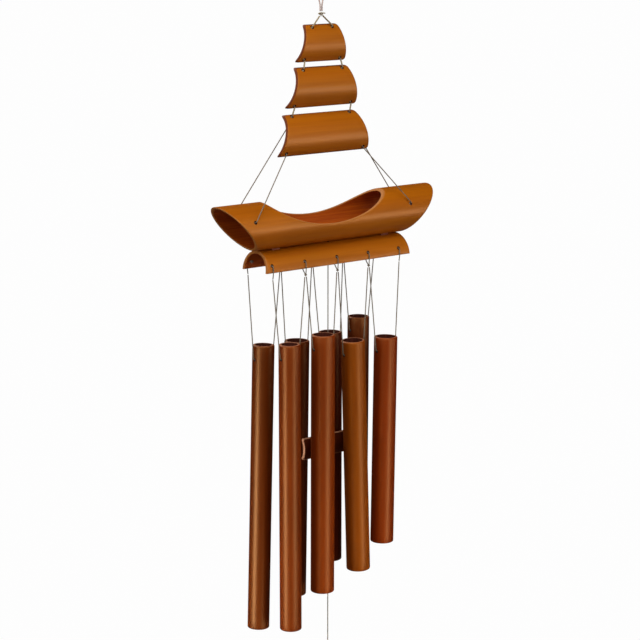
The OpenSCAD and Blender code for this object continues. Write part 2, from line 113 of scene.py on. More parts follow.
def finish(name, **constants):
    """A new material: its node tree and its shader, with values that are the same all over."""
    material = bpy.data.materials.new(name)
    material.use_nodes = True
    shader = material.node_tree.nodes["Principled BSDF"]
    for key, value in constants.items():
        shader.inputs[key.replace("_", " ")].default_value = value
    return material, material.node_tree, shader


def pattern(tree, kind, size, settings):
    """A texture on a piece, with a size in millimetres."""
    place = add(tree, "TexCoord", {}, {})
    settings = {"Scale": 1 / (size * MM), **settings}
    return add(tree, kind, settings, {"Vector": place.outputs["Object"]})


def grain(tree, along, length, width, detail):
    """Noise drawn out along the bamboo's axis: fibres of a length and width in millimetres."""
    size = [width, width, width]
    size[along] = length
    place = add(tree, "TexCoord", {}, {})
    scale = [1 / (s * MM) for s in size]
    spread = add(tree, "Mapping", {"Scale": scale}, {"Vector": place.outputs["Object"]})
    settings = {"Scale": 1, "Detail": detail}
    return add(tree, "TexNoise", settings, {"Vector": spread.outputs["Vector"]}).outputs["Fac"]


def ranged(tree, value, low, high, to_low=0, to_high=1):
    """A value with its range from low to high moved to another range."""
    span = {"From Min": low, "From Max": high, "To Min": to_low, "To Max": to_high}
    return add(tree, "MapRange", span, {"Value": value}).outputs["Result"]


def between(tree, share, low, high, first, second):
    """A colour between two others, where a share runs from low to high."""
    colours = {"data_type": "RGBA", MIX_FIRST: linear(first), MIX_SECOND: linear(second)}
    links = {MIX_SHARE: ranged(tree, share, low, high)}
    return add(tree, "Mix", colours, links).outputs[MIX_RESULT]


def coloured(tree, shader, *blend):
    """Colour a surface by a pattern, between two colours."""
    tree.links.new(between(tree, *blend), shader.inputs["Base Color"])


def raised(tree, shader, height, strength, distance):
    """Let a pattern stand out from the surface by up to a distance in millimetres."""
    bump = add(tree, "Bump", {"Strength": strength, "Distance": distance * MM}, {"Height": height})
    tree.links.new(bump.outputs["Normal"], shader.inputs["Normal"])


print("white is", linear("#ffffff"))

# %% [markdown]
# ## Cord
# The chime is strung with waxed twine, thin for the tubes and thicker for the sails, grey-brown
# with age. Twine is three yarns laid round each other, so each cord is a three-lobed outline swept
# along its route while it turns. The hanging loop is paler: the bamboo's stain never reached it.

# %% Finish of the cords
TWINE_FIBRE = 0.25  # millimetres; real fibres are finer and wouldn't show


def waxed_twine(name, pale, deep):
    """Twisted polyester twine, waxed: matte, a little fuzzy, darker between its fibres."""
    material, tree, shader = finish(name, Roughness=0.75, Sheen_Weight=0.15)
    fuzz = pattern(tree, "TexNoise", TWINE_FIBRE, {"Detail": 3}).outputs["Fac"]
    coloured(tree, shader, fuzz, NOISE_LOW, NOISE_HIGH, deep, pale)
    raised(tree, shader, fuzz, strength=0.4, distance=0.08)
    return material


thin_finish = waxed_twine("waxed_thin_twine", "#82725a", "#504434")
thick_finish = waxed_twine("waxed_thick_twine", "#ab9a76", "#706148")
loop_finish = waxed_twine("pale_loop_twine", "#d9c6bc", "#a8938a")
print("twine finishes:", [m.name for m in (thin_finish, thick_finish, loop_finish)])

# %% Lay out the line of a cord
BEND, BEND_STEPS = 1.2, 4  # how far from a corner a bend starts, in millimetres, and its steps
CORD_STEP = 1.4  # from point to point, in radii of the cord
KNOT_CORD = 0.75  # a knot is drawn so tight that its cord thins to this share
KNOT_POINTS, KNOT_DEPTH = 48, 1.6


def rounded(route, reach):
    """The points of a route with every bend rounded over a reach on both sides."""
    points = [Vector(route[0])]
    for before, at, after in zip(route, route[1:], route[2:]):
        at = Vector(at)
        back = Vector(before) - at
        ahead = Vector(after) - at
        start = at + back.normalized() * min(reach, back.length / 2)
        end = at + ahead.normalized() * min(reach, ahead.length / 2)
        for step in range(BEND_STEPS + 1):
            t = step / BEND_STEPS
            points.append(start.lerp(at, t).lerp(at.lerp(end, t), t))
    points.append(Vector(route[-1]))
    return points


def spaced(points, step):
    """Points at even steps along a line of points."""
    lengths = [(b - a).length for a, b in zip(points, points[1:])]
    count = max(2, round(sum(lengths) / step))
    even = sum(lengths) / count
    walked, leg, result = 0.0, 0, [points[0].copy()]
    for number in range(1, count):
        while walked + lengths[leg] < number * even:
            walked += lengths[leg]
            leg += 1
        result.append(points[leg].lerp(points[leg + 1], (number * even - walked) / lengths[leg]))
    return result + [points[-1].copy()]


def trefoil(at, radius, cord_radius):
    """The line of a small overhand knot, drawn tight."""
    size = (radius - cord_radius) / 3
    line = []
    for i in range(KNOT_POINTS):
        t = 2 * pi * i / (KNOT_POINTS - 1)
        line.append(Vector(at) + size * Vector((
            sin(t) + 2 * sin(2 * t), -KNOT_DEPTH * sin(3 * t), cos(t) - 2 * cos(2 * t))))
    return line


def run_length(line):
    """Length of a line of points."""
    return sum((b - a).length for a, b in zip(line, line[1:]))


print("bends are rounded over", BEND, "mm")

# %% Sweep a twisted cord
LOBES, LOBE_DEPTH = 3, 0.08  # yarns, and half the furrow between them as a share of the radius
RING = 9  # points round a cord
LAY_LENGTH = 4.5  # one turn of the yarns, in diameters of the cord


def sweep(line, radius, verts, faces):
    """Sweep the turning three-lobed outline of a twine along a line of points."""
    last = len(line) - 1
    ahead = [(line[min(i + 1, last)] - line[max(i - 1, 0)]).normalized() for i in range(last + 1)]
    side = ahead[0].orthogonal().normalized()
    first = len(verts)
    walked = 0.0
    for i, at in enumerate(line):
        if i:
            side = ahead[i - 1].rotation_difference(ahead[i]) @ side
            walked += (at - line[i - 1]).length
        other = ahead[i].cross(side)
        turn = 2 * pi * walked / (LAY_LENGTH * 2 * radius)
        for k in range(RING):
            angle = 2 * pi * k / RING
            reach = radius * (1 - LOBE_DEPTH + LOBE_DEPTH * cos(LOBES * angle))
            way = cos(angle + turn) * side + sin(angle + turn) * other
            verts.append(at + reach * way)
    for i in range(last):
        a, b = first + i * RING, first + (i + 1) * RING
        faces.extend((a + k, a + (k + 1) % RING, b + (k + 1) % RING, b + k) for k in range(RING))
    faces.append([first + k for k in range(RING)][::-1])
    faces.append([first + last * RING + k for k in range(RING)])


def place_piece(name, shape, finishes, body, nodes):
    """Vertices in millimetres, faces and kinds of face become a piece that stands for CAD nodes."""
    verts, faces, kinds = shape
    mesh = bpy.data.meshes.new(name)
    mesh.from_pydata([Vector(v) * MM for v in verts], [], faces)
    for material in finishes:
        mesh.materials.append(material)
    for polygon, kind in zip(mesh.polygons, kinds):
        polygon.use_smooth = True
        polygon.material_index = kind
    piece = bpy.data.objects.new(name, mesh)
    bpy.context.scene.collection.objects.link(piece)
    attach(piece, body)
    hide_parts(*nodes)
    return piece


def string_up(node, body, routes, radius, material, knots=(), bend=BEND):
    """One piece of twisted cord from its routes and knots, standing for a CAD node."""
    verts, faces = [], []
    for route in routes:
        sweep(spaced(rounded(route, bend), CORD_STEP * radius), radius, verts, faces)
    for at, size in knots:
        sweep(trefoil(at, size, KNOT_CORD * radius), KNOT_CORD * radius, verts, faces)
    shape = verts, faces, [0] * len(faces)
    piece = place_piece(node + "_twine", shape, [material], body, [node])
    return piece


print("twine turns once every", LAY_LENGTH, "diameters")

# %% [markdown]
# ## The line that carries the boat
# From the top: a loop for the hook, a knot, a bridle of two legs, then the cord runs behind each
# sail and out of its lower holes to the next one. Sails are slices of a pole, so their holes lie
# on a circle about its axis, and the pivots sit just in front of the skin.

# %% Sizes of the sails and the hull, in millimetres
MAIN_R, THIN_R, GAP = 0.9, 0.6, 0.3
KNOT_Z, TOP_KNOT_R, STOP_KNOT_R, TIE_KNOT_R = -33, 2.4, 1.8, 1.5
SAIL_TOP, SAIL_BOTTOM, SAIL_H = (41.5, 65.5, 89.5), (61.5, 88, 114), (36, 39, 40)
SAIL_SHIFT = (2.2, 3, 0.4)
SAIL_R, SAIL_T, SAIL_GAP, SAIL_LEAN = 26, 3, 5, 11
BRIDLE_DROP, HOLE_EDGE, HOLE_SIDE = 10, 3.4, 8
HULL_R, HULL_WALL, HULL_SHIFT, SHROUD_DROP = 23.25, 2.5, 6, 80.7


def hole_angle(h, r):
    """Angle of a plate's holes above the middle of its height, seen from the pole's axis."""
    return asin(h / 2 / r) - HOLE_EDGE / r


def pivot_rise(h, r, cord_r):
    """Height of the pivots over the middle of a plate."""
    return (r + cord_r + GAP) * sin(hole_angle(h, r))


def axis_depth(h, r, cord_r):
    """Distance of the pole's axis behind the pivots."""
    return (r + cord_r + GAP) * cos(hole_angle(h, r))


def hole_x(width):
    """Distance of a hole from the middle of an edge."""
    return width / 2 - HOLE_SIDE


sail_z = [KNOT_Z - BRIDLE_DROP - SAIL_H[0] / 2]
for upper in (0, 1):
    sail_z.append(sail_z[upper] - SAIL_H[upper] / 2 - SAIL_GAP - SAIL_H[upper + 1] / 2)
rise = [pivot_rise(h, SAIL_R, MAIN_R) for h in SAIL_H]
large_pivot = sail_z[2] + rise[2]
hull_z = large_pivot - SHROUD_DROP - HULL_R
hull_bottom = hull_z - HULL_R
print("sail middles", [round(z, 1) for z in sail_z], "hull axis", round(hull_z, 1))

# %% Hanging loop, top knot and bridle
LOOP_HALF, STRAND_X, STRAIGHT = 4.5, 1.1, 6
LOOP_TAPER, LOOP_BEND = 2.2, 2.5  # the loop narrows below this many half widths
loop_low = KNOT_Z + TOP_KNOT_R + GAP
loop_wide = -MAIN_R - LOOP_TAPER * LOOP_HALF
half_loop = [(STRAND_X, 0, loop_low), (STRAND_X, 0, loop_low + STRAIGHT), (LOOP_HALF, 0, loop_wide)]
crown = [(LOOP_HALF * cos(a), 0, -MAIN_R - LOOP_HALF + LOOP_HALF * sin(a))
         for a in map(radians, range(150, 0, -30))]
loop_route = [(-x, y, z) for x, y, z in half_loop] + crown + half_loop[::-1]
loop_line = spaced(rounded(loop_route, LOOP_BEND), CORD_STEP * MAIN_R)
loop = string_up("hanging_loop", "hanging_loop", [loop_route], MAIN_R, loop_finish, bend=LOOP_BEND)

TAIL = [(-1.2, -0.6, 0.4), (-3.2, -1.4, 1.2), (-4.6, -1.8, 0.4)]
TAIL_SIDES = (1, -0.8)  # one tail points the other way and is shorter
tails = [[Vector((side * x, y, z + KNOT_Z)) for x, y, z in TAIL] for side in TAIL_SIDES]
knot = Vector((0, 0, KNOT_Z))
string_up("top_knot", "top_knot", tails, KNOT_CORD * MAIN_R, thick_finish, [(knot, TOP_KNOT_R)])
feet = [Vector((SAIL_SHIFT[0] + side * hole_x(SAIL_TOP[0]), 0, sail_z[0] + rise[0]))
        for side in (-1, 1)]
legs = [[knot + (foot - knot).normalized() * (TOP_KNOT_R + GAP), foot] for foot in feet]
string_up("top_bridle", "top_bridle", legs, MAIN_R, thick_finish)
print("hanging loop is", round(run_length(loop_line), 1), "mm of cord")

# %% Cords of the sails
# behind a plate a cord bends at a share of its way across, a little off the wall, and at a
# share of the holes' angle
RUN_SHIFT, RUN_OFF, RUN_TURN = 0.06, 0.6, 0.88


def run_point(x, radius, angle, h, r, cord_r):
    """A point behind or in front of a plate, in the plate's own place."""
    depth = axis_depth(h, r, cord_r)
    return Vector((x, depth - radius * cos(angle), radius * sin(angle)))


def plate_run(top_x, bottom_x, h, r, t, cord_r):
    """The cord behind a plate: in at the top hole, down the hollow side, out at the bottom hole."""
    a = hole_angle(h, r)
    back = r - t - cord_r - GAP
    shift = RUN_SHIFT * (bottom_x - top_x)
    stops = [(top_x, r, a), (top_x, back + cord_r, a),
             (top_x + shift, back - RUN_OFF, RUN_TURN * a),
             (bottom_x - shift, back - RUN_OFF, -RUN_TURN * a),
             (bottom_x, back + cord_r, -a), (bottom_x, r, -a)]
    return [run_point(x, radius, angle, h, r, cord_r) for x, radius, angle in stops]


for i, name in enumerate(("small_sail", "middle_sail")):
    lift = Vector((SAIL_SHIFT[i], 0, sail_z[i]))
    top, low = hole_x(SAIL_TOP[i]), hole_x(SAIL_BOTTOM[i])
    runs = [[p + lift for p in plate_run(s * top, s * low, SAIL_H[i], SAIL_R, SAIL_T, MAIN_R)]
            for s in (-1, 1)]
    string_up(name + "_cords", name, runs, MAIN_R, thick_finish)
for i, name in enumerate(("upper_links", "lower_links")):
    links = []
    for s in (-1, 1):
        top_x, low_x = s * hole_x(SAIL_BOTTOM[i]), s * hole_x(SAIL_TOP[i + 1])
        links.append([(SAIL_SHIFT[i] + top_x, 0, sail_z[i] - rise[i] - GAP),
                      (SAIL_SHIFT[i + 1] + low_x, 0, sail_z[i + 1] + rise[i + 1] + GAP)])
    string_up(name, name, links, MAIN_R, thick_finish)
print("sail cords and links strung")

# %% [markdown]
# ## Shrouds
# Four thin cords hold the hull. The front pair runs behind the large sail and leaves by its lower
# holes, which makes the sail lean; the back pair goes straight from its upper holes to the back
# wall. Each goes through its hole to a stopper knot inside the hull.

# %% Front and back shrouds
HULL_TOP_L = 273
bow_x, stern_x = HULL_SHIFT - HULL_TOP_L / 2, HULL_SHIFT + HULL_TOP_L / 2
FRONT_HOLES = (bow_x + 31, stern_x - 42)
BACK_HOLES = (bow_x + 40, stern_x - 24)
HOLE_RISE = 8
# small steps that bend a shroud: behind the sail, out of its lower hole, and into the hull
BEHIND, BEHIND_TURN = 1, 0.85
OUT_NEAR, OUT_FAR, OUT_TURN = 0.4, 1.2, 1.06
HULL_FAR, HULL_NEAR, HULL_LIFT, SIDE_STEP = 1.4, 0.3, 1, 0.8
# the back pair shares the upper holes with the front pair, so it starts beside it
BESIDE, BACK_STEP, BACK_BEHIND, BACK_TURN = 0.1, 0.6, 1.5, 0.9
wall_angle = asin(HOLE_RISE / HULL_R)
inside_r = HULL_R - HULL_WALL - STOP_KNOT_R - GAP
lean = (Matrix.Translation((SAIL_SHIFT[2], 0, large_pivot))
        @ Matrix.Rotation(radians(-SAIL_LEAN), 4, "X") @ Matrix.Translation((0, 0, -rise[2])))


def sail_point(x, radius, angle):
    """A point on the large sail after it has leaned."""
    return lean @ run_point(x, radius, angle, SAIL_H[2], SAIL_R, MAIN_R)


def hull_point(x, radius, wall, lift=0):
    """A point on the line of a shroud hole; wall is -1 at the front and 1 at the back."""
    return Vector((x, wall * radius * cos(wall_angle), hull_z + radius * sin(wall_angle) + lift))


def into_hull(x, wall, side):
    """The end of a shroud: to its hole in the hull, and through to the stopper knot."""
    return [hull_point(x - SIDE_STEP * side, HULL_R + HULL_FAR, wall, HULL_LIFT),
            hull_point(x, HULL_R + HULL_NEAR, wall), hull_point(x, inside_r, wall)]


sail_a = hole_angle(SAIL_H[2], SAIL_R)
back = SAIL_R - SAIL_T - THIN_R - GAP
front_routes, back_routes = [], []
for side, front_x, back_x in zip((-1, 1), FRONT_HOLES, BACK_HOLES):
    top = side * (hole_x(SAIL_TOP[2]) + THIN_R)
    low = side * hole_x(SAIL_BOTTOM[2])
    front_routes.append([
        sail_point(top, SAIL_R, sail_a), sail_point(top, back, sail_a),
        sail_point(top, back - BEHIND, BEHIND_TURN * sail_a),
        sail_point(low, back - BEHIND, -BEHIND_TURN * sail_a), sail_point(low, back, -sail_a),
        sail_point(low, SAIL_R + OUT_NEAR, -sail_a),
        sail_point(low + SIDE_STEP * side, SAIL_R + OUT_FAR, -OUT_TURN * sail_a),
        *into_hull(front_x, -1, side)])
    top = side * (hole_x(SAIL_TOP[2]) - THIN_R - BESIDE)
    back_routes.append([
        sail_point(top, SAIL_R, sail_a), sail_point(top, back, sail_a),
        sail_point(top + BACK_STEP * side, back - BACK_BEHIND, BACK_TURN * sail_a),
        *into_hull(back_x, 1, side)])
for node, routes in (("front_shrouds", front_routes), ("back_shrouds", back_routes)):
    knots = [(route[-1], STOP_KNOT_R) for route in routes]
    string_up(node, "boat", routes, THIN_R, thin_finish, knots)
print("shrouds:", len(front_routes) + len(back_routes))

# %% [markdown]
# ## Tube cords
# One zigzag cord per row goes down to a tube, across inside it and up to the next hole of the
# rail. At the three middle holes a loop round the rail's edge is closed with a small knot, from
# which the legs of two tubes spread; at the outer holes the cord ends in a stopper knot inside.

# %% Sizes of the rail and the tubes, in millimetres
RAIL_R, RAIL_WALL, RAIL_L, RAIL_H, RAIL_SLANT = 19.5, 3, 186, 20.4, 2.5
HOLE_PITCH, TIE_RISE, TIE_DROP, CROSS_DROP = 41, 7.2, 6.2, 14
TUBES, HOLES = 4, 5  # in each row
OUTER_HOLES = (0, HOLES - 1)
TUBE_L, TUBE_WALL = (292.5, 265.5, 241, 216), (2.75, 2.25, 2.25, 2)
ROWS = {
    "front": {"wall": -1, "d": (22, 24, 24.5, 24), "drop": (66.5, 62.5, 73.5, 75.5),
              "shift": (0, 1.8, 0.3, 2.9), "lean": (0.1, -0.2, 2, -1)},
    "back": {"wall": 1, "d": (22.2, 25.5, 24.5, 22.5), "drop": (73, 74.5, 71.5, 60),
             "shift": (-2, 0, 2.9, 0), "lean": (-1.7, -1.1, 0, -0.4)},
}
rail_x = HULL_SHIFT + 3
rail_z = hull_bottom - GAP - RAIL_R
rail_foot = rail_z + RAIL_R - RAIL_H
tie_z = rail_foot + TIE_RISE
pivot_z = rail_foot - TIE_DROP
row_x = HULL_SHIFT - 1
tie_x = [row_x + (k - (HOLES - 1) / 2) * HOLE_PITCH for k in range(HOLES)]


def cross_hole(row, k):
    """The middle of a tube's cross hole, where its cord carries it."""
    sizes = ROWS[row]
    x = row_x + (k - (TUBES - 1) / 2) * HOLE_PITCH + sizes["shift"][k]
    return x, sizes["wall"] * RAIL_R, pivot_z - sizes["drop"][k] - CROSS_DROP


print("rail foot", round(rail_foot, 1), "tube pivots", round(pivot_z, 1))

# %% Ties at the rail's holes


def wall_y(z, r):
    """Half width of the rail's round wall at a height."""
    return sqrt(r * r - (z - rail_z) ** 2)


tie_out = wall_y(rail_foot, RAIL_R) + THIN_R + GAP
inner_y = wall_y(tie_z, RAIL_R - RAIL_WALL)
tie_in, stop_y = inner_y - THIN_R - GAP, inner_y - STOP_KNOT_R - GAP
# routes in y and z, whose small steps bend the cord round the rail's edge and into the hole
INTO_HOLE = [(tie_out, rail_foot - 1), (tie_out, tie_z - 2), (tie_out - 0.5, tie_z - 0.5),
             (tie_out - 1.6, tie_z)]
LOOPED = [(RAIL_R + 0.4, pivot_z + 0.6), *INTO_HOLE, (tie_in + 1, tie_z), (tie_in, tie_z - 0.6),
          (tie_in + 0.2, rail_foot + 0.6), (tie_in + 1, rail_foot - 1.4),
          (RAIL_R - 0.6, pivot_z + 0.6)]
STOPPED = [(RAIL_R, pivot_z + 0.4), *INTO_HOLE, (stop_y, tie_z)]
for row, sizes in ROWS.items():
    wall = sizes["wall"]
    routes, knots = [], []
    for k, x in enumerate(tie_x):
        route, at, size = LOOPED, (RAIL_R, pivot_z), TIE_KNOT_R
        if k in OUTER_HOLES:
            route, at, size = STOPPED, (stop_y, tie_z), STOP_KNOT_R
        routes.append([Vector((x, wall * y, z)) for y, z in route])
        knots.append(((x, wall * at[0], at[1]), size))
    string_up(row + "_ties", "boat", routes, THIN_R, thin_finish, knots)
print("ties at", len(tie_x) * len(ROWS), "holes")

# %% Cords of the eight tubes
LEG_SIDE, END_START = 1, 0.4
TURN_IN = [(0, 3), (0.3, 0.9), (1.3, 0)]  # into the cross hole: steps inwards, and height over it


def leg_top(k, side):
    """Where a leg leaves a hole's knot, or the cord of an outer hole: x and height."""
    if k in OUTER_HOLES:
        return tie_x[k], pivot_z - END_START
    return tie_x[k] + side * LEG_SIDE, pivot_z - TIE_KNOT_R - GAP


for row, sizes in ROWS.items():
    for k in range(TUBES):
        x, y, cross = cross_hole(row, k)
        out = sizes["d"][k] / 2 + THIN_R + 2 * GAP
        route = [leg_top(k, 1)] + [(x - out + step, cross + up) for step, up in TURN_IN]
        route += [(x + out - step, cross + up) for step, up in reversed(TURN_IN)]
        route.append(leg_top(k + 1, -1))
        node = f"{row}_cord_{k + 1}"
        string_up(node, node, [[Vector((px, y, pz)) for px, pz in route]], THIN_R, thin_finish)
print("tube cords:", TUBES * len(ROWS))

# %% [markdown]
# ## Clapper line
# A free cord drops from a knot on the hull's floor through the rail to the clapper, and on to the
# wind catcher. It hangs straight under the weight of both, so it is drawn as a straight cord of
# its real length. Behind the clapper it runs as behind a sail.

# %% Clapper cord, catcher cord and their knot
CLAPPER_X, CLAPPER_Y = HULL_SHIFT + 1, -2.5
CLAPPER_L, CLAPPER_H, CLAPPER_R, CLAPPER_DROP = 62, 22, 22.5, 201.5
CATCHER_DROP, CATCHER_TOP, CATCHER_BOTTOM, CATCHER_H = 228, 60, 80, 38
clapper_rise = pivot_rise(CLAPPER_H, CLAPPER_R, THIN_R)
clapper_z = hull_bottom - CLAPPER_DROP - clapper_rise
catcher_rise = pivot_rise(CATCHER_H, SAIL_R, THIN_R)
catcher_z = clapper_z - clapper_rise - CATCHER_DROP - catcher_rise
line_at = Vector((CLAPPER_X, CLAPPER_Y, 0))


def free_cord(node, top, low):
    """A cord that hangs straight from one height to another, at its real length."""
    line = spaced([line_at + Vector((0, 0, z)) for z in (top, low)], CORD_STEP * THIN_R)
    piece = string_up(node, node, [[line[0], line[-1]]], THIN_R, thin_finish)
    print(node, round(top - low, 1), "mm")


free_cord("clapper_cord", hull_bottom + HULL_WALL, clapper_z + clapper_rise + GAP)
free_cord("catcher_cord", clapper_z - clapper_rise - GAP, catcher_z + catcher_rise)
knot_at = line_at + Vector((0, 0, hull_bottom + HULL_WALL + STOP_KNOT_R + GAP))
string_up("clapper_knot", "clapper_knot", [], THIN_R, thin_finish, [(knot_at, STOP_KNOT_R)])
lift = line_at + Vector((0, 0, clapper_z))
run = [p + lift for p in plate_run(0, 0, CLAPPER_H, CLAPPER_R, SAIL_T, THIN_R)]
string_up("clapper_run", "clapper", [run], THIN_R, thin_finish)

# %% [markdown]
# ## Bamboo finishes
# Bamboo has a hard outer skin, a pale cut face full of fibre ends, and a softer inner wall. Here
# all of it was stained, the boat caramel and the tubes a darker red-brown, and the skin varnished
# to a satin gloss. Its fibres run along the pole, so the noise that colours and roughens it is
# drawn out along that axis: X on the boat, Z on the tubes.

# %% Skin, cut face and inner wall
ALONG_X, ALONG_Z = 0, 2
FIBRE_W, FIBRE_L = 0.7, 70  # millimetres across and along, as are the next two
STREAK_W, STREAK_L = 4, 160
CLOUD = 45
BUNDLE = 0.8  # from one fibre end to the next on a cut face
VARNISH = "#ffbe78"  # what the varnish mirrors looks warm
SATIN = 0.38


def bamboo_skin(name, pale, deep, along, roughness=SATIN):
    """Stained, varnished bamboo skin: fibres, long streaks and uneven stain under satin gloss."""
    material, tree, shader = finish(name, Roughness=roughness, Specular_IOR_Level=1,
                                    Specular_Tint=linear(VARNISH))
    fibre = grain(tree, along, FIBRE_L, FIBRE_W, detail=2)
    streak = grain(tree, along, STREAK_L, STREAK_W, detail=3)
    cloud = grain(tree, along, 2 * CLOUD, CLOUD, detail=1)
    colour = between(tree, streak, NOISE_LOW, NOISE_HIGH, deep, pale)
    stain = ranged(tree, cloud, NOISE_LOW, NOISE_HIGH, 0.88, 1.06)
    lines = ranged(tree, fibre, NOISE_LOW, 0.6, 0.92, 1.02)
    shade = add(tree, "Math", {"operation": "MULTIPLY"}, {0: stain, 1: lines}).outputs[0]
    stained = add(tree, "VectorMath", {"operation": "SCALE"}, {0: colour, "Scale": shade})
    tree.links.new(stained.outputs["Vector"], shader.inputs["Base Color"])
    rubbed = ranged(tree, fibre, 0, 1, roughness - 0.04, roughness + 0.06)
    tree.links.new(rubbed, shader.inputs["Roughness"])
    raised(tree, shader, fibre, strength=0.06, distance=0.06)
    return material


def bamboo_cut(name, pale, deep):
    """Sanded cut face: matt, with the darker ends of the fibre bundles as dots."""
    material, tree, shader = finish(name, Roughness=0.6, Specular_IOR_Level=0.15)
    dots = pattern(tree, "TexVoronoi", BUNDLE, {}).outputs["Distance"]
    coloured(tree, shader, dots, 0.1, 0.5, deep, pale)
    return material


def bamboo_inside(name, pale, deep, along):
    """Inner wall: stained but not varnished, with coarse fibres."""
    material, tree, shader = finish(name, Roughness=0.62, Specular_IOR_Level=0.15)
    fibre = grain(tree, along, FIBRE_L, 2 * FIBRE_W, detail=3)
    coloured(tree, shader, fibre, NOISE_LOW, NOISE_HIGH, deep, pale)
    raised(tree, shader, fibre, strength=0.5, distance=0.15)
    return material


boat_skin = bamboo_skin("caramel_bamboo_skin", "#a65b04", "#9b5003", ALONG_X)
boat_cut = bamboo_cut("caramel_bamboo_cut", "#a86a30", "#865020")
boat_inside = bamboo_inside("caramel_bamboo_inside", "#b0540a", "#923a05", ALONG_X)
# painted shade: the wall of every drill hole and its flare is dark as the shade inside a hole
drilled = bamboo_inside("drill_hole_painted_shade", "#3a1006", "#260802", ALONG_X)
# the sails' cut edges are stained dark, and darker still as painted shade on the edges
sail_cut = bamboo_cut("stained_sail_edge_painted_shade", "#6c3210", "#4a1f0a")
boat_finish = [boat_skin, boat_cut, boat_inside, drilled]
sail_finish = [boat_skin, sail_cut, boat_inside, drilled]
print("boat finishes:", [m.name for m in boat_finish + [sail_cut]])

# %% [markdown]
# ## Sails, clapper and wind catcher
# Each is a slat split from a pole: part of a tube wall, trimmed to a trapezoid with round corners.
# A grid follows the pole's curve, its rows narrowing at the corners, once for the skin and once
# for the hollow side. The outlines of a few layers between them make a rim with rounded edges.
# Cord holes are drilled square to the skin and flared there; hole and flare are dark as painted
# shade.

# %% Build walls from grids of points
SKIN, CUT, INSIDE, HOLE = 0, 1, 2, 3  # kinds of face, in the order of a piece's finishes
EDGE_ROUND, EDGE_STEPS = 0.6, 3


def build_wall(layers, cells, borders):
    """A wall from layers of points with keys. The first layer is its skin and the last its inner
    side, where cells join keys to faces. Borders, closed lines of keys, make the rims between."""
    verts, faces, kinds, number = [], [], [], {}
    last = len(layers) - 1
    for n, layer in enumerate(layers):
        for key in layer if n in (0, last) else sum(borders, []):
            number[n, key] = len(verts)
            verts.append(layer[key])
    for cell in cells:
        faces += [[number[0, key] for key in cell], [number[last, key] for key in reversed(cell)]]
        kinds += [SKIN, INSIDE]
    for n in range(last):
        for border in borders:
            for a, b in zip(border, border[1:] + border[:1]):
                faces.append([number[n, a], number[n, b], number[n + 1, b], number[n + 1, a]])
                kinds.append(CUT)
    return verts, faces, kinds


def grid_wall(layers, closed=False):
    """A wall from grids of points; the rows of a closed wall go all the way round."""
    rows, columns = len(layers[0]), len(layers[0][0])
    steps = [(i, (i + 1) % rows) for i in range(rows if closed else rows - 1)]
    cells = [[(i, j), (n, j), (n, j + 1), (i, j + 1)] for i, n in steps for j in range(columns - 1)]
    left, right = [(i, 0) for i in reversed(range(rows))], [(i, columns - 1) for i in range(rows)]
    borders = [left, right]
    if not closed:
        low = [(rows - 1, j) for j in reversed(range(1, columns - 1))]
        borders = [[(0, j) for j in range(1, columns - 1)] + right + low + left]
    layers = [{(i, j): p for i, line in enumerate(layer) for j, p in enumerate(line)}
              for layer in layers]
    return build_wall(layers, cells, borders)


def quarter(steps):
    """The angles of a quarter turn in even steps."""
    return [pi / 2 * k / steps for k in range(steps + 1)]


def rim_layers(wall):
    """How deep below the skin, and how far in from the outline, a rim's rounded borders lie."""
    rim = [(EDGE_ROUND * (1 - cos(a)), EDGE_ROUND * (1 - sin(a))) for a in quarter(EDGE_STEPS)]
    return rim + [(wall - below, inset) for below, inset in reversed(rim)]


print("edges are rounded over", EDGE_ROUND, "mm")

# %% Drill and smooth a wall
DRILL_OUT, DRILL_SIDES, FLARE, FLARE_DEEP = 2, 20, 0.7, 1  # a drill goes DRILL_OUT past a wall
SHARP = radians(38)  # edges sharper than this stay sharp


def drill(piece, holes, diameter, flare=FLARE):
    """Drill round holes, each a point on the skin, the way out and a depth, flared at the skin."""
    verts, faces, n, r = [], [], DRILL_SIDES, diameter / 2
    turns = [2 * pi * k / n for k in range(n)]
    for skin, way, depth in holes:
        turn, first = Vector(way).to_track_quat("Z", "Y"), len(verts)
        bit = [(-depth, r), (DRILL_OUT, r)]
        if flare:
            bit = [(-depth, r), (-flare, r), (0, r + flare), (DRILL_OUT, r + flare)]
        for z, wide in bit:
            ring = [Vector((wide * cos(a), wide * sin(a), z)) for a in turns]
            verts += [(Vector(skin) + turn @ p) * MM for p in ring]
        for low in range(first, len(verts) - n, n):
            faces += [[low + k, low + (k + 1) % n, low + n + (k + 1) % n, low + n + k]
                      for k in range(n)]
        faces += [list(range(first, first + n))[::-1], list(range(len(verts) - n, len(verts)))]
    drills = bpy.data.objects.new("drills", bpy.data.meshes.new("drills"))
    drills.data.from_pydata(verts, [], faces)
    for material in piece.data.materials:
        drills.data.materials.append(material)
    for polygon in drills.data.polygons:
        polygon.material_index = HOLE
    bpy.context.scene.collection.objects.link(drills)
    cut = piece.modifiers.new("holes", "BOOLEAN")
    cut.object = drills
    cut.solver = "EXACT"
    bored = piece.evaluated_get(bpy.context.evaluated_depsgraph_get())
    bored = bpy.data.meshes.new_from_object(bored)
    piece.modifiers.clear()
    piece.data = bored
    bpy.data.objects.remove(drills)


def soften(piece):
    """Shade smooth, with sharp edges only where faces meet at more than an angle."""
    for polygon in piece.data.polygons:
        polygon.use_smooth = True
    piece.data.set_sharp_from_angle(angle=SHARP)


print("holes flare by", FLARE, "mm")

# %% Split the slats
CORNER, CORNER_ROWS, MAIN_HOLE, THIN_HOLE = 2.5, 5, 2.7, 2.4
SLAT_ROWS, SLAT_COLUMNS = 16, 30


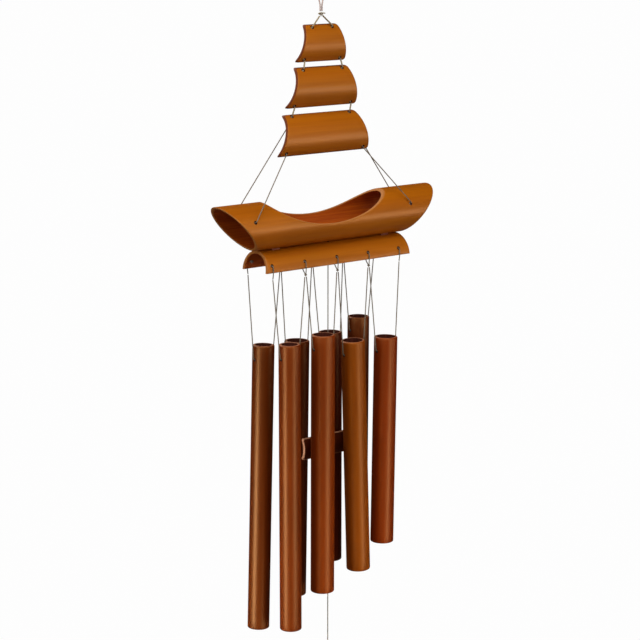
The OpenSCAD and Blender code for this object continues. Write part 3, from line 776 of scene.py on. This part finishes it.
def slat_layer(top_w, bottom_w, h, radius, depth, inset):
    """A grid of points at one radius of a slat's curve, its outline drawn in by inset."""
    corner, straight = CORNER - inset, h / 2 - CORNER
    turns = [straight + corner * cos(a) for a in quarter(CORNER_ROWS)]
    body_rows = [straight - 2 * straight * k / SLAT_ROWS for k in range(1, SLAT_ROWS)]
    layer = []
    for z in turns + body_rows + [-z for z in reversed(turns)]:
        near = max(0, abs(z) - straight)
        half = (top_w + bottom_w) / 4 - (bottom_w - top_w) / 2 / h * z
        half -= CORNER - sqrt(max(0, corner ** 2 - near ** 2))
        line = [half * (2 * j / SLAT_COLUMNS - 1) for j in range(SLAT_COLUMNS + 1)]
        layer.append([Vector((x, depth - sqrt(radius ** 2 - z ** 2), z)) for x in line])
    return layer


def slat(node, body, top_w, bottom_w, h, r, cord_r, holes, hole_d, finishes, place):
    """A curved slat with round corners; holes are (x, 1 for the top edge or -1 for the bottom)."""
    depth = axis_depth(h, r, cord_r)
    layers = [slat_layer(top_w, bottom_w, h, r - below, depth, inset)
              for below, inset in rim_layers(SAIL_T)]
    shape = grid_wall([[[place @ p for p in line] for line in layer] for layer in layers])
    piece = place_piece(node + "_slat", shape, finishes, body, [node])
    drills = []
    for x, end in holes:
        a = end * hole_angle(h, r)
        way = place.to_3x3() @ Vector((0, -cos(a), sin(a)))
        drills.append((place @ Vector((x, depth, 0)) + way * r, way, SAIL_T + DRILL_OUT))
    drill(piece, drills, hole_d)
    soften(piece)
    return piece


for i, node in enumerate(("small_sail", "middle_sail", "large_sail")):
    top, bottom = hole_x(SAIL_TOP[i]), hole_x(SAIL_BOTTOM[i])
    holes = [(-top, 1), (top, 1), (-bottom, -1), (bottom, -1)]
    place = lean if i == 2 else Matrix.Translation((SAIL_SHIFT[i], 0, sail_z[i]))
    piece = slat(node, "boat" if i == 2 else node, SAIL_TOP[i], SAIL_BOTTOM[i], SAIL_H[i], SAIL_R,
                 MAIN_R, holes, MAIN_HOLE, sail_finish, place)
    print(node, "faces:", len(piece.data.polygons))

# %% Clapper and wind catcher
# painted shade: the clapper's skin and inner wall are near black as the shade between the tubes
clapper_skin = bamboo_skin("clapper_painted_shade_skin", "#4c1a08", "#341004", ALONG_X)
clapper_cut = bamboo_cut("dark_clapper_cut", "#c08a68", "#8c5836")
clapper_inside = bamboo_inside("clapper_painted_shade_inside", "#34100a", "#220804", ALONG_X)
clapper = slat("clapper", "clapper", CLAPPER_L, CLAPPER_L, CLAPPER_H, CLAPPER_R, THIN_R,
               [(0, 1), (0, -1)], THIN_HOLE, [clapper_skin, clapper_cut, clapper_inside, drilled],
               Matrix.Translation((CLAPPER_X, CLAPPER_Y, clapper_z)))
catcher = slat("wind_catcher", "wind_catcher", CATCHER_TOP, CATCHER_BOTTOM, CATCHER_H, SAIL_R,
               THIN_R, [(0, 1)], THIN_HOLE, sail_finish,
               Matrix.Translation((CLAPPER_X, CLAPPER_Y, catcher_z)))
print("clapper hangs at", round(clapper_z, 1), "catcher at", round(catcher_z, 1))

# %% [markdown]
# ## Hull
# The hull is a length of thick bamboo with both ends cut on the slant and a deck scooped out of
# its top by one big round cut, a little rolled and turned as a hand saws it. A boolean would leave
# ragged faces along those cuts, so the wall is laid out as lines along the hull that follow them:
# one runs from the bow to the deck's edge and one from the stern, and below the deck the two meet.
# Its rims are rounded like those of the slats.

# %% Follow the deck's cut
BOW_RUN, STERN_RUN = 42.5, 41
DECK_L, DECK_DEPTH, DECK_X = 150, 22.5, 2.2
DECK_ROLL, DECK_TURN = radians(5.5), radians(6)
SHEER_ROWS, KEEL_ROWS, HULL_COLUMNS = 24, 44, 30
CROWD = 1.6  # lines crowd to where the cut just touches the wall
SHEER_LOW, HALVINGS = 0.5, 40  # the search for that place
deck_r = (DECK_L ** 2 / 4 + DECK_DEPTH ** 2) / (2 * DECK_DEPTH)
deck_z = hull_z + HULL_R - DECK_DEPTH + deck_r
deck_way = Vector((cos(DECK_ROLL) * sin(DECK_TURN), cos(DECK_ROLL) * cos(DECK_TURN),
                   sin(DECK_ROLL)))


def deck_cut(y, z, inset):
    """Where a line along the hull meets the round cut: its middle, and its half length squared."""
    lift = z - deck_z
    share = deck_way.y * y + deck_way.z * lift
    square = 1 - deck_way.x ** 2
    middle = deck_way.x * share / square
    apart = y ** 2 + lift ** 2 - share ** 2 - (deck_r + inset) ** 2
    return DECK_X + middle, middle ** 2 - apart / square


def sheer_angle(r, wall, inset):
    """Angle up from the keel at which the deck's cut just touches one wall of the hull."""
    low, high = SHEER_LOW, pi
    for _ in range(HALVINGS):
        a = (low + high) / 2
        inside = deck_cut(wall * r * sin(a), hull_z - r * cos(a), inset)[1] > 0
        low, high = (low, a) if inside else (a, high)
    return high


def hull_rings(r, inset):
    """For every line along the hull: its y and z, and the deck's middle and half length there."""
    back, front = sheer_angle(r, 1, inset), sheer_angle(r, -1, inset)
    share = [(k / SHEER_ROWS) ** CROWD for k in range(SHEER_ROWS + 1)]
    angles = [back + (pi - back) * s for s in share]
    angles += [-front - (pi - front) * s for s in reversed(share[:-1])]
    angles += [-front + (front + back) * k / KEEL_ROWS for k in range(1, KEEL_ROWS)]
    lines = []
    for number, a in enumerate(angles):
        y, z = r * sin(a), hull_z - r * cos(a)
        middle, half = deck_cut(y, z, inset)
        cut = 0 < number < 2 * SHEER_ROWS
        lines.append((y, z, middle, sqrt(max(0, half)) if cut else 0))
    return lines


print("deck cut with a radius of", round(deck_r, 1), "mm")

# %% Carve the hull


def hull_key(side, i, j):
    """Key of a point: bow or stern, line and column. Below the deck the two meet at one point."""
    joined = j == HULL_COLUMNS and not 0 < i < 2 * SHEER_ROWS
    return 0 if joined else side, i, j


def hull_layer(below, inset):
    """The points of one layer of the wall, on lines from bow to deck and from stern to deck."""
    points = {}
    for i, (y, z, middle, half) in enumerate(hull_rings(HULL_R - below, inset)):
        slant = (HULL_R - (z - hull_z)) / (2 * HULL_R)
        for side, end_x, run in ((-1, bow_x, BOW_RUN), (1, stern_x, STERN_RUN)):
            start = end_x - side * (run * slant + inset * hypot(1, run / (2 * HULL_R)))
            stop = middle + side * half
            for j in range(HULL_COLUMNS + 1):
                points[hull_key(side, i, j)] = (start + (stop - start) * j / HULL_COLUMNS, y, z)
    return points


def carve_hull():
    """Vertices, faces and kinds of the whole hull."""
    count, deck = 2 * SHEER_ROWS + KEEL_ROWS, 2 * SHEER_ROWS
    cells = []
    for i in range(count):
        for j in range(HULL_COLUMNS):
            quad = [(i, j), ((i + 1) % count, j), ((i + 1) % count, j + 1), (i, j + 1)]
            cells.append([hull_key(-1, *corner) for corner in quad])
            cells.append([hull_key(1, *corner) for corner in reversed(quad)])
    bow = [hull_key(-1, i, 0) for i in reversed(range(count))]
    stern = [hull_key(1, i, 0) for i in range(count)]
    sheer = [hull_key(-1, i, HULL_COLUMNS) for i in range(deck + 1)]
    sheer += [hull_key(1, i, HULL_COLUMNS) for i in reversed(range(1, deck))]
    layers = [hull_layer(*layer) for layer in rim_layers(HULL_WALL)]
    return build_wall(layers, cells, [bow, stern, sheer])


hull = place_piece("hull_carved", carve_hull(), boat_finish, "boat", ["hull"])
drills = []
for holes, wall in ((FRONT_HOLES, -1), (BACK_HOLES, 1)):
    out = hull_point(1, 1, wall) - hull_point(1, 0, wall)
    drills += [(hull_point(x, HULL_R, wall), out, HULL_WALL + DRILL_OUT) for x in holes]
drills.append((line_at + Vector((0, 0, hull_bottom)), (0, 0, -1), HULL_WALL + DRILL_OUT))
drill(hull, drills, THIN_HOLE)
soften(hull)
print("hull faces:", len(hull.data.polygons))

# %% [markdown]
# ## Rail
# Under the hull sits half a bamboo tube, glued on at two spots, with five cord holes along each
# edge. It is a plate like the sails, only bent further. Its holes go straight across, so the dark
# flares of painted shade, which lie square to the skin, are cut in a second go.

# %% Split the rail
RAIL_ROWS, RAIL_COLUMNS = 36, 60


def rail_layer(below, inset):
    """A grid of points at one depth of the wall, from the back foot over the crown to the front."""
    r = RAIL_R - below
    reach = acos((rail_foot + inset - rail_z) / r)
    layer = []
    for i in range(RAIL_ROWS + 1):
        a = reach * (1 - 2 * i / RAIL_ROWS)
        z = rail_z + r * cos(a)
        long = RAIL_L - 2 * inset - 2 * RAIL_SLANT * (z - rail_foot) / RAIL_H
        line = [rail_x + long * (j / RAIL_COLUMNS - 0.5) for j in range(RAIL_COLUMNS + 1)]
        layer.append([(x, r * sin(a), z) for x in line])
    return layer


shape = grid_wall([rail_layer(*layer) for layer in rim_layers(RAIL_WALL)])
rail = place_piece("rail_split", shape, boat_finish, "boat", ["rail"])
tie_y = wall_y(tie_z, RAIL_R)
drills, flares = [], []
for x in tie_x:
    for way in (-1, 1):
        skin = Vector((x, way * tie_y, tie_z))
        drills.append((skin, (0, way, 0), tie_y - RAIL_R / 2))
        flares.append((skin, skin - Vector((x, 0, rail_z)), FLARE_DEEP))
drills.append((line_at + Vector((0, 0, hull_bottom - GAP)), (0, 0, 1), RAIL_WALL + DRILL_OUT))
drill(rail, drills, THIN_HOLE, flare=0)
drill(rail, flares, THIN_HOLE)
soften(rail)
print("rail faces:", len(rail.data.polygons))

# %% Glue between hull and rail
GLUE_CLOUD = 1.5
# dried glue in the seam: dull, cloudy, tinted by the stain around it and darkened as painted shade
# of the seam
glue, tree, shader = finish("dried_clear_glue", Roughness=0.5, Specular_IOR_Level=0.2)
cloudy = pattern(tree, "TexNoise", GLUE_CLOUD, {}).outputs["Fac"]
coloured(tree, shader, cloudy, NOISE_LOW, NOISE_HIGH, "#682c12", "#7e3c1c")
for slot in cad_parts["glue_pads"].material_slots:
    slot.material = glue
print("glue pads keep their CAD shape")

# %% [markdown]
# ## Tubes
# The eight tubes are cut to length from thin poles, sanded round at both ends and drilled across
# for their cords. A living pole is never quite round or straight, so the skin dips by up to a
# tenth of a millimetre. Each has its own stain; the back row is darker as painted shade.

# %% Turn the tubes
TUBE_SIDES, TUBE_ROWS, TUBE_ROUND, ROUND_STEPS = 56, 40, 1.2, 4
TUBE_WAVE, TUBE_WAVE_L = 0.06, 110
WAVE_ROUND, WAVE_APART = 0.6, 9  # how fast the dips change round a tube, and from one to the next
TUBE_SATIN = 0.4
# stain of each tube; the back row's darker colours also paint the shade behind the front row
TUBE_STAINS_AND_SHADE = {
    "front": (("#6c2600", "#601e00"), ("#7e2e00", "#722600"),
              ("#843e00", "#783400"), ("#822c00", "#742200")),
    "back": (("#5c2200", "#501a00"), ("#542005", "#461802"),
             ("#460f03", "#380902"), ("#5a2104", "#4c1802")),
}
tube_cut = bamboo_cut("dark_tube_cut", "#a26b4c", "#6f3d24")
tube_inside = bamboo_inside("dark_tube_inside", "#4a1a0a", "#2e0c04", ALONG_Z)


def turn_tube(row, k):
    """One tube: lines from its top rim to its bottom rim, outside and inside."""
    sizes = ROWS[row]
    r = sizes["d"][k] / 2
    long = TUBE_L[k]
    arc = [TUBE_ROUND * (1 - cos(a)) for a in quarter(ROUND_STEPS)]
    drop = arc + [TUBE_ROUND + (long - 2 * TUBE_ROUND) * i / TUBE_ROWS for i in range(1, TUBE_ROWS)]
    drop += [long - d for d in reversed(arc)]
    tilt = Matrix.Rotation(radians(-sizes["lean"][k]), 4, "Y")
    place = Matrix.Translation(cross_hole(row, k)) @ tilt @ Matrix.Translation((0, 0, CROSS_DROP))
    outer, inner = [], []
    for i in range(TUBE_SIDES):
        a = -2 * pi * i / TUBE_SIDES
        way = Vector((cos(a), sin(a), 0))
        skin, bore = [], []
        for d in drop:
            near = max(0, TUBE_ROUND - min(d, long - d))
            own = Vector((WAVE_APART * k, sizes["wall"] * WAVE_APART, d / TUBE_WAVE_L))
            dip = TUBE_WAVE * (1 + noise(way * WAVE_ROUND + own))
            wide = r - TUBE_ROUND + sqrt(TUBE_ROUND ** 2 - near ** 2) - dip
            skin.append(place @ (way * wide + Vector((0, 0, -d))))
            bore.append(place @ (way * (r - TUBE_WALL[k]) + Vector((0, 0, -d))))
        outer.append(skin)
        inner.append(bore)
    return grid_wall([outer, inner], closed=True)


for row, shades in TUBE_STAINS_AND_SHADE.items():
    for k, (pale, deep) in enumerate(shades):
        node = f"{row}_tube_{k + 1}"
        skin = bamboo_skin(node + "_varnished_skin", pale, deep, ALONG_Z, TUBE_SATIN)
        finishes = [skin, tube_cut, tube_inside, drilled]
        tube = place_piece(node + "_turned", turn_tube(row, k), finishes, node, [node])
        x, y, cross = cross_hole(row, k)
        r = ROWS[row]["d"][k] / 2
        drill(tube, [((x + way * r, y, cross), (way, 0, 0), r / 2) for way in (-1, 1)], THIN_HOLE)
        soften(tube)
print("tubes:", sum(len(s) for s in TUBE_STAINS_AND_SHADE.values()))

# %% [markdown]
# ## Studio
# Varnish shows the lamps, so they stand where the wood mirrors them to the eye. Two wide strips,
# low and 50 degrees to the left and right of the camera, draw two soft upright bands on each
# tube. The boat lies across the view and mirrors what is far to the right, so a third low strip
# there draws the level band on sails and hull. Softboxes above, beside and behind light the
# colours, and a dim warm world fills the shadows. The pale floor lies far below and is white to
# the camera, as is the world.

# %% Lights
STRIP_Z, BOAT_Z, WIDE = -0.82, -0.2, 180
# name, turn from the camera in degrees, height, distance, width and height in metres, watts,
# height of its aim on the chime's axis, spread in degrees
LIGHTS = (
    ("left_strip", 50, STRIP_Z, 1.3, (0.9, 0.6), 2.4, STRIP_Z, 36),
    ("right_strip", -50, STRIP_Z, 1.3, (0.9, 0.6), 1.1, STRIP_Z, 36),
    ("left_softbox", 50, BOAT_Z + 0.45, 1.3, (0.9, 1.2), 9.5, BOAT_Z, WIDE),
    ("right_softbox", -50, BOAT_Z + 0.45, 1.3, (0.9, 1.2), 8, BOAT_Z, WIDE),
    ("overhead_softbox", 0, BOAT_Z + 1.45, 0.9, (1.2, 1.2), 23, BOAT_Z, WIDE),
    ("front_fill", 0, BOAT_Z + 0.4, 2.4, (0.8, 0.8), 5.2, BOAT_Z, WIDE),
    ("back_softbox", 135, BOAT_Z + 1.1, 1.7, (1.2, 1.2), 20, BOAT_Z - 0.2, WIDE),
    ("right_floor_strip", -82, BOAT_Z - 0.24, 1.3, (1, 0.3), 0.16, BOAT_Z + 0.05, 24),
)
for name, turn, height, away, size, power, aim, spread in LIGHTS:
    light = bpy.data.lights.new(name, "AREA")
    light.shape = "RECTANGLE"
    light.size, light.size_y = size
    light.energy = power
    light.spread = radians(spread)
    box = bpy.data.objects.new(name, light)
    angle = YAW + radians(turn)
    spot = Vector((-sin(angle) * away, -cos(angle) * away, height))
    box.location = spot
    box.rotation_euler = (Vector((0, 0, aim)) - spot).to_track_quat("-Z", "Y").to_euler()
    bpy.context.scene.collection.objects.link(box)
print("lights:", [light[0] for light in LIGHTS])

# %% World and floor
FLOOR_Z, FLOOR_HALF, FLOOR_WHITE = -2.6, 120, 0.985  # white, with a trace of its own shade


def white_to_camera(tree, surface, output, share):
    """Show white to the camera, and a surface or a light to everything else."""
    path = add(tree, "LightPath", {}, {})
    white = add(tree, "Emission", {"Color": linear("#ffffff"), "Strength": 1}, {})
    fade = add(tree, "Math", {"operation": "MULTIPLY", 1: share},
               {0: path.outputs["Is Camera Ray"]})
    mix = add(tree, "MixShader", {}, {0: fade.outputs[0], 1: surface, 2: white.outputs[0]})
    tree.links.new(mix.outputs[0], output.inputs["Surface"])


world = bpy.data.worlds.new("studio")
world.use_nodes = True
bpy.context.scene.world = world
room = world.node_tree.nodes["Background"]
room.inputs["Color"].default_value = linear("#ff8a50")
room.inputs["Strength"].default_value = 0.05
white_to_camera(world.node_tree, room.outputs[0], world.node_tree.nodes["World Output"], 1)

floor_mesh = bpy.data.meshes.new("floor")
square = ((-1, -1), (1, -1), (1, 1), (-1, 1))
corners = [(x * FLOOR_HALF, y * FLOOR_HALF, FLOOR_Z) for x, y in square]
floor_mesh.from_pydata(corners, [], [(0, 1, 2, 3)])
floor = bpy.data.objects.new("floor", floor_mesh)
bpy.context.scene.collection.objects.link(floor)
floor_finish, tree, shader = finish("pale_floor", Roughness=0.9)
shader.inputs["Base Color"].default_value = linear("#c4b4a6")
white_to_camera(tree, shader.outputs[0], tree.nodes["Material Output"], FLOOR_WHITE)
floor_mesh.materials.append(floor_finish)
floor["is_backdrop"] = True
bpy.context.scene.view_settings.view_transform = "Standard"
print("floor at", FLOOR_Z)

# %% Measure and finish
seen_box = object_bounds()
for name, box in (("CAD box", cad_box), ("visual box", seen_box)):
    print(name, [[round(v, 3) for v in corner] for corner in box])
